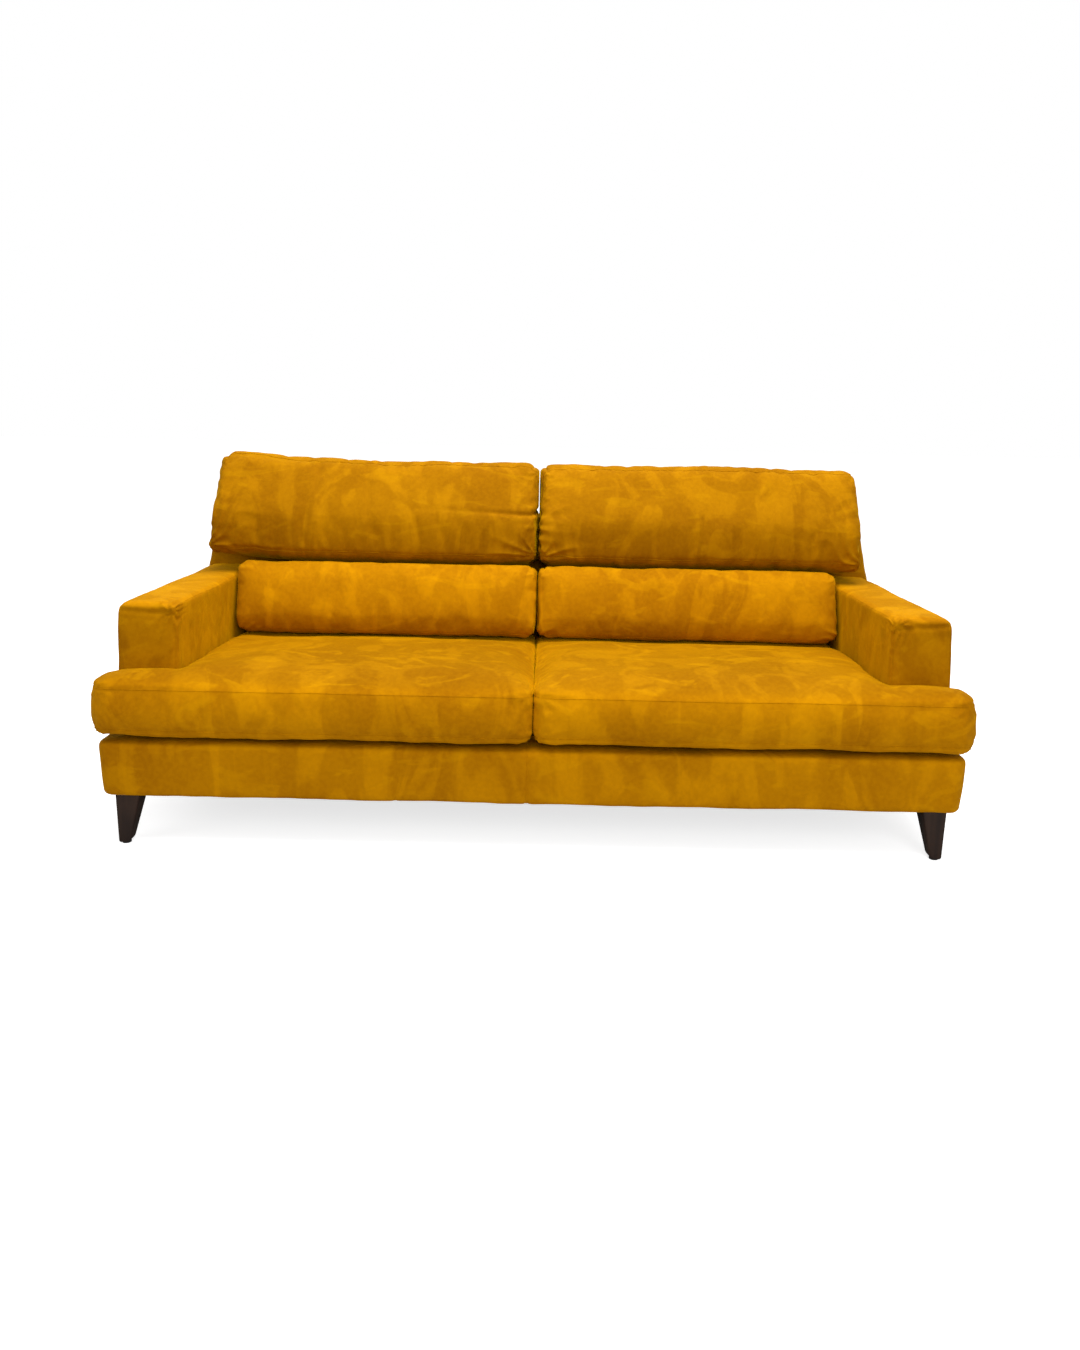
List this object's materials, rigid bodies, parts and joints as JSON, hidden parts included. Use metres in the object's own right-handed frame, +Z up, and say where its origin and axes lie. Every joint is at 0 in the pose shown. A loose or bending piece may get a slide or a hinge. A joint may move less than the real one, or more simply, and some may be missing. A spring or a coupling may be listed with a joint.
{
  "type": "sofa with wooden legs",
  "caption": "Upholstered velvet sofa with T-shaped seat cushions, lumbar cushions, wide loose back cushions, track arms and tapered wooden legs.",
  "frame": {"origin": "on the floor, under the centre of the bounding box", "axes": "+X to the right of someone facing the sofa, -Y out of its front, +Z up"},
  "size_m": [2.224, 0.98, 0.965],
  "materials": {
    "velvet": "short-pile woven velvet",
    "platform_cloth": "woven platform cloth",
    "foam": "cut upholstery foam",
    "fibre_fill": "fibre filling in a liner",
    "frame_timber": "planed softwood",
    "hardboard": "pressed board",
    "leg_wood": "dark stain under satin lacquer",
    "spring_steel": "oiled spring wire",
    "clip_plastic": "moulded",
    "webbing": "woven elastic webbing",
    "dust_cloth": "non-woven cloth",
    "fastener_steel": "zinc plated",
    "glide_plastic": "moulded",
    "zip": "moulded coil"
  },
  "bodies": {
    "frame": {"base_front_cover": "velvet", "base_left_cover": "velvet", "base_right_cover": "velvet", "base_rear_cover": "velvet", "left_arm_cover": "velvet", "right_arm_cover": "velvet", "back_inner_cover": "velvet", "back_outer_cover": "velvet", "seat_platform": "platform_cloth", "base_foam": "foam", "seat_pad": "foam", "left_arm_foam": "foam", "right_arm_foam": "foam", "back_foam": "foam", "front_rail": "frame_timber", "rear_rail": "frame_timber", "centre_joist": "frame_timber", "left_side_rail": "frame_timber", "right_side_rail": "frame_timber", "corner_blocks": "frame_timber", "arm_top_rails": "frame_timber", "arm_posts": "frame_timber", "back_lower_rail": "frame_timber", "back_top_rail": "frame_timber", "back_centre_post": "frame_timber", "back_left_post": "frame_timber", "back_right_post": "frame_timber", "arm_panels": "hardboard", "seat_springs": "spring_steel", "spring_clips": "clip_plastic", "back_webbing": "webbing", "dust_cover": "dust_cloth", "front_left_leg": "leg_wood", "rear_left_leg": "leg_wood", "front_right_leg": "leg_wood", "rear_right_leg": "leg_wood", "leg_bolts": "fastener_steel", "frame_screws": "fastener_steel", "leg_plates": "fastener_steel", "leg_glides": "glide_plastic"},
    "left_seat_cushion": {"left_seat_cover": "velvet", "left_seat_core": "foam", "left_seat_zip": "zip"},
    "left_lumbar_cushion": {"left_lumbar_cover": "velvet", "left_lumbar_core": "foam", "left_lumbar_zip": "zip"},
    "left_upper_cushion": {"left_upper_cover": "velvet", "left_upper_core": "fibre_fill", "left_upper_zip": "zip"},
    "right_seat_cushion": {"right_seat_cover": "velvet", "right_seat_core": "foam", "right_seat_zip": "zip"},
    "right_lumbar_cushion": {"right_lumbar_cover": "velvet", "right_lumbar_core": "foam", "right_lumbar_zip": "zip"},
    "right_upper_cushion": {"right_upper_cover": "velvet", "right_upper_core": "fibre_fill", "right_upper_zip": "zip"}
  },
  "joints": [
    {"name": "left_seat_cushion_out", "type": "slide", "parent": "frame", "child": "left_seat_cushion", "axis": [0, -0.9998, 0.0175], "range_m": [0, 0.6]},
    {"name": "left_lumbar_cushion_out", "type": "slide", "parent": "frame", "child": "left_lumbar_cushion", "axis": [0, -0.9962, 0.0872], "range_m": [0, 0.4]},
    {"name": "left_upper_cushion_lift", "type": "slide", "parent": "frame", "child": "left_upper_cushion", "axis": [0, 0, 1], "range_m": [0, 0.35]},
    {"name": "right_seat_cushion_out", "type": "slide", "parent": "frame", "child": "right_seat_cushion", "axis": [0, -0.9998, 0.0175], "range_m": [0, 0.6]},
    {"name": "right_lumbar_cushion_out", "type": "slide", "parent": "frame", "child": "right_lumbar_cushion", "axis": [0, -0.9962, 0.0872], "range_m": [0, 0.4]},
    {"name": "right_upper_cushion_lift", "type": "slide", "parent": "frame", "child": "right_upper_cushion", "axis": [0, 0, 1], "range_m": [0, 0.35]}
  ]
}
